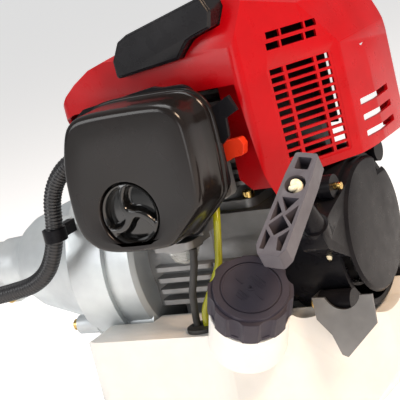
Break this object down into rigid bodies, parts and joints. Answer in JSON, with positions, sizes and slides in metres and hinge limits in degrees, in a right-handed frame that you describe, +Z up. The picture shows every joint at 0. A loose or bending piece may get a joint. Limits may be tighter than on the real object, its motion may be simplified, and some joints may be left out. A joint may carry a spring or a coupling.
{
  "type": "two-stroke power unit of a pole hedge trimmer",
  "caption": "Two-stroke engine unit of a pole hedge trimmer: red shroud, black air filter, pull starter, translucent fuel tank and split tube clamp.",
  "frame": {"origin": "mouth of the drive tube clamp, on the crank axis", "axes": "+X along the crank towards the pull starter, -Y towards the air filter, +Z up the cylinder"},
  "size_m": [0.3976, 0.2273, 0.3148],
  "materials": {
    "cast_housing": "fine sand-cast aluminium, bead blasted",
    "cast_engine": "die-cast aluminium",
    "flywheel_alloy": "die-cast aluminium",
    "steel": "machined steel",
    "gold_screw": "yellow zinc plated steel",
    "bracket_steel": "zinc plated pressed steel",
    "red_shell": "moulded nylon, semi-gloss",
    "choke_red": "moulded plastic",
    "black_shell": "moulded nylon, satin",
    "plug_cover_black": "moulded nylon, gloss",
    "filter_cover_black": "moulded plastic, satin face and glossy edges",
    "knob_black": "moulded plastic, gloss",
    "grip_plastic": "moulded nylon",
    "cap_plastic": "moulded polyethylene, matt",
    "rubber": "moulded rubber",
    "gasket_paper": "pressed fibre",
    "tank_plastic": "blow-moulded translucent polyethylene",
    "clear_bulb": "clear soft plastic",
    "fuel_hose": "translucent soft plastic",
    "insulator_grey": "moulded phenolic",
    "filter_foam": "open-cell foam",
    "rope": "braided nylon",
    "conduit_black": "corrugated polyethylene",
    "connector": "moulded plastic",
    "muffler_steel": "heat-darkened steel",
    "coil_black": "potted resin",
    "plug_ceramic": "glazed ceramic and plated steel",
    "felt": "sintered felt"
  },
  "bodies": {
    "engine": {"ball_bearings": "steel", "body_screws": "gold_screw", "cable_connector": "connector", "carburettor": "cast_engine", "clutch_housing": "cast_housing", "conduit": "conduit_black", "conduit_clip": "black_shell", "conduit_coil": "conduit_black", "crankcase_front": "cast_engine", "crankcase_rear": "cast_engine", "cylinder": "cast_engine", "engine_shroud": "red_shell", "fan_cover": "cast_housing", "fan_housing": "cast_housing", "filter_base": "black_shell", "filter_element": "filter_foam", "fuel_filter": "felt", "fuel_line": "fuel_hose", "fuel_tank": "tank_plastic", "gaskets": "gasket_paper", "ignition_coil": "coil_black", "insulator": "insulator_grey", "muffler": "muffler_steel", "muffler_guard": "black_shell", "oil_seals": "rubber", "plug_boot": "rubber", "plug_cover": "plug_cover_black", "recoil_housing": "black_shell", "recoil_spring": "steel", "return_line": "rubber", "spark_plug": "plug_ceramic", "starter_rope": "rope", "tank_bracket": "bracket_steel", "tank_buffers": "rubber", "tank_grommet": "rubber"},
    "drum": {"clutch_drum": "steel"},
    "crank": {"crank_front": "steel", "crank_rear": "steel", "flywheel": "flywheel_alloy", "clutch_carrier": "steel", "starter_cup": "steel"},
    "shoe_upper": {"clutch_shoe_upper": "steel"},
    "shoe_lower": {"clutch_shoe_lower": "steel"},
    "piston": {"piston": "cast_engine", "piston_pin": "steel", "piston_rings": "steel"},
    "rod": {"connecting_rod": "steel", "crank_pin": "steel"},
    "pulley": {"recoil_pulley": "black_shell", "wound_rope": "rope"},
    "pawl": {"starter_pawl": "black_shell"},
    "handle": {"pull_handle": "grip_plastic", "rope_knot": "rope"},
    "choke": {"choke_lever": "choke_red"},
    "throttle": {"throttle_lever": "black_shell"},
    "primer": {"primer_bulb": "clear_bulb"},
    "filter_lid": {"filter_cover": "filter_cover_black"},
    "filter_knob": {"filter_knob": "knob_black"},
    "cap_seal": {"cap_gasket": "rubber"},
    "cap": {"fuel_cap": "cap_plastic"}
  },
  "joints": [
    {"name": "output_spin", "type": "hinge", "parent": "engine", "child": "drum", "pos_m": [0.1, 0, 0], "axis": [1, 0, 0], "continuous": true},
    {"name": "crank_spin", "type": "hinge", "parent": "engine", "child": "crank", "pos_m": [0.24, 0, 0], "axis": [1, 0, 0], "continuous": true},
    {"name": "shoe_upper_swing", "type": "hinge", "parent": "crank", "child": "shoe_upper", "pos_m": [0.117, 0.027, 0.0065], "axis": [1, 0, 0], "range_deg": [-1.3, 0], "stiffness_Nm_per_rad": 2, "springref_deg": 5.73},
    {"name": "shoe_lower_swing", "type": "hinge", "parent": "crank", "child": "shoe_lower", "pos_m": [0.117, -0.027, -0.0065], "axis": [1, 0, 0], "range_deg": [-1.3, 0], "stiffness_Nm_per_rad": 2, "springref_deg": 5.73},
    {"name": "piston_slide", "type": "slide", "parent": "engine", "child": "piston", "axis": [0, 0, -1], "range_m": [0, 0.034]},
    {"name": "rod_swing", "type": "hinge", "parent": "piston", "child": "rod", "pos_m": [0.24, 0, 0.077], "axis": [1, 0, 0], "range_deg": [-16.4, 16.4]},
    {"name": "handle_pull", "type": "slide", "parent": "engine", "child": "handle", "axis": [0.1501, -0.6004, 0.7855], "range_m": [0, 0.7], "stiffness_N_per_m": 4, "springref_m": -0.5, "deforming": ["starter_rope"]},
    {"name": "pulley_spin", "type": "hinge", "parent": "engine", "child": "pulley", "pos_m": [0.32, 0, 0], "axis": [1, 0, 0], "range_deg": [0, 1253.36]},
    {"name": "pawl_swing", "type": "hinge", "parent": "pulley", "child": "pawl", "pos_m": [0.308, 0, 0.027], "axis": [1, 0, 0], "range_deg": [-12, 0], "stiffness_Nm_per_rad": 0.004, "springref_deg": 17.19},
    {"name": "choke_turn", "type": "hinge", "parent": "engine", "child": "choke", "pos_m": [0.278, -0.066, 0.079], "axis": [0, 1, 0], "range_deg": [-55, 0]},
    {"name": "throttle_turn", "type": "hinge", "parent": "engine", "child": "throttle", "pos_m": [0.242, -0.067, 0.092], "axis": [0, 0, 1], "range_deg": [-60, 0], "stiffness_Nm_per_rad": 0.02, "springref_deg": 17.19},
    {"name": "primer_press", "type": "slide", "parent": "engine", "child": "primer", "axis": [0, 0, 1], "range_m": [0, 0.0035], "stiffness_N_per_m": 400},
    {"name": "filter_lid_off", "type": "slide", "parent": "engine", "child": "filter_lid", "axis": [0, -1, 0], "range_m": [0, 0.06]},
    {"name": "filter_knob_turn", "type": "hinge", "parent": "filter_lid", "child": "filter_knob", "pos_m": [0.233, -0.115, 0.0585], "axis": [0, -1, 0], "range_deg": [0, 1080]},
    {"name": "cap_lift", "type": "slide", "parent": "engine", "child": "cap_seal", "axis": [0.4591, -0.4722, 0.7525], "range_m": [0, 0.0101]},
    {"name": "cap_turn", "type": "hinge", "parent": "cap_seal", "child": "cap", "pos_m": [0.301, -0.11, 0.001], "axis": [0.4591, -0.4722, 0.7525], "range_deg": [0, 728]}
  ],
  "couplings": [
    {"joint": "pulley_spin", "follows": "handle_pull", "rad_per_m": 31.25},
    {"joint": "cap_turn", "follows": "cap_lift", "rad_per_m": 1256.6}
  ]
}
